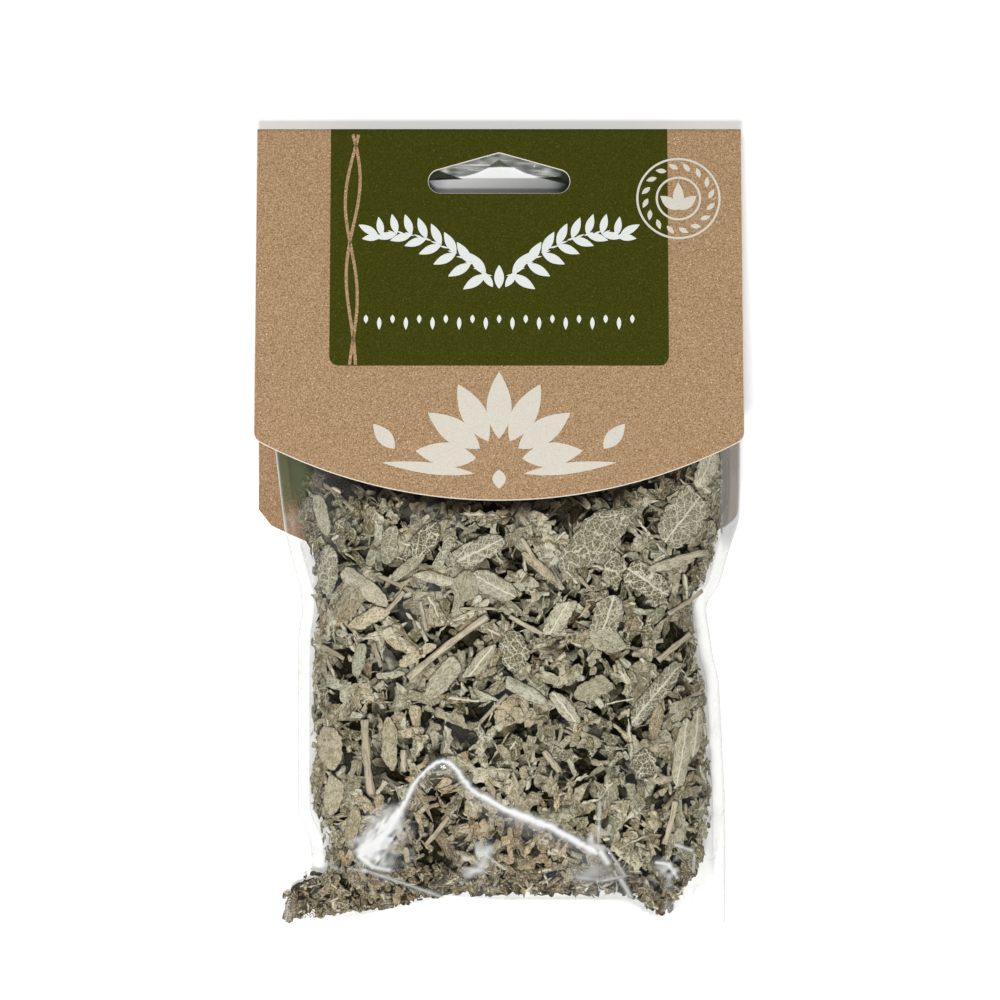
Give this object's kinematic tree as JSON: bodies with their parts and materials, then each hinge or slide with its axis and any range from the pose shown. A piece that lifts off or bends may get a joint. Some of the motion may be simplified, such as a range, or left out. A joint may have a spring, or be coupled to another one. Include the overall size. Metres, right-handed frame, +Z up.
{
  "type": "hang-card packet of dried sage",
  "caption": "Clear film bag of cut dried sage, its neck held in a folded card header with a hang slot, lying on its back.",
  "frame": {"origin": "middle of the packet's footprint, on the surface it lies on", "axes": "+Z up out of the front, +Y along the packet towards the card's fold, +X to the right seen from above"},
  "size_m": [0.11, 0.1814, 0.028],
  "materials": {
    "kraft_card": "uncoated kraft card",
    "clear_film": "clear glossy film",
    "glue": "dried adhesive",
    "sage_leaf": "dry matt leaf",
    "sage_stem": "dry stalk"
  },
  "bodies": {
    "root": {"film_bag": "clear_film", "glue_strip_back": "glue", "glue_strip_front": "glue", "header_card": "kraft_card", "sage_leaf_1": "sage_leaf", "sage_leaf_10": "sage_leaf", "sage_leaf_11": "sage_leaf", "sage_leaf_12": "sage_leaf", "sage_leaf_2": "sage_leaf", "sage_leaf_3": "sage_leaf", "sage_leaf_4": "sage_leaf", "sage_leaf_5": "sage_leaf", "sage_leaf_6": "sage_leaf", "sage_leaf_7": "sage_leaf", "sage_leaf_8": "sage_leaf", "sage_leaf_9": "sage_leaf", "sage_pile": "sage_leaf", "sage_stem_1": "sage_stem", "sage_stem_2": "sage_stem", "sage_stem_3": "sage_stem", "sage_stem_4": "sage_stem", "sage_stem_5": "sage_stem", "sage_stem_6": "sage_stem", "sage_stem_7": "sage_stem"}
  },
  "joints": []
}
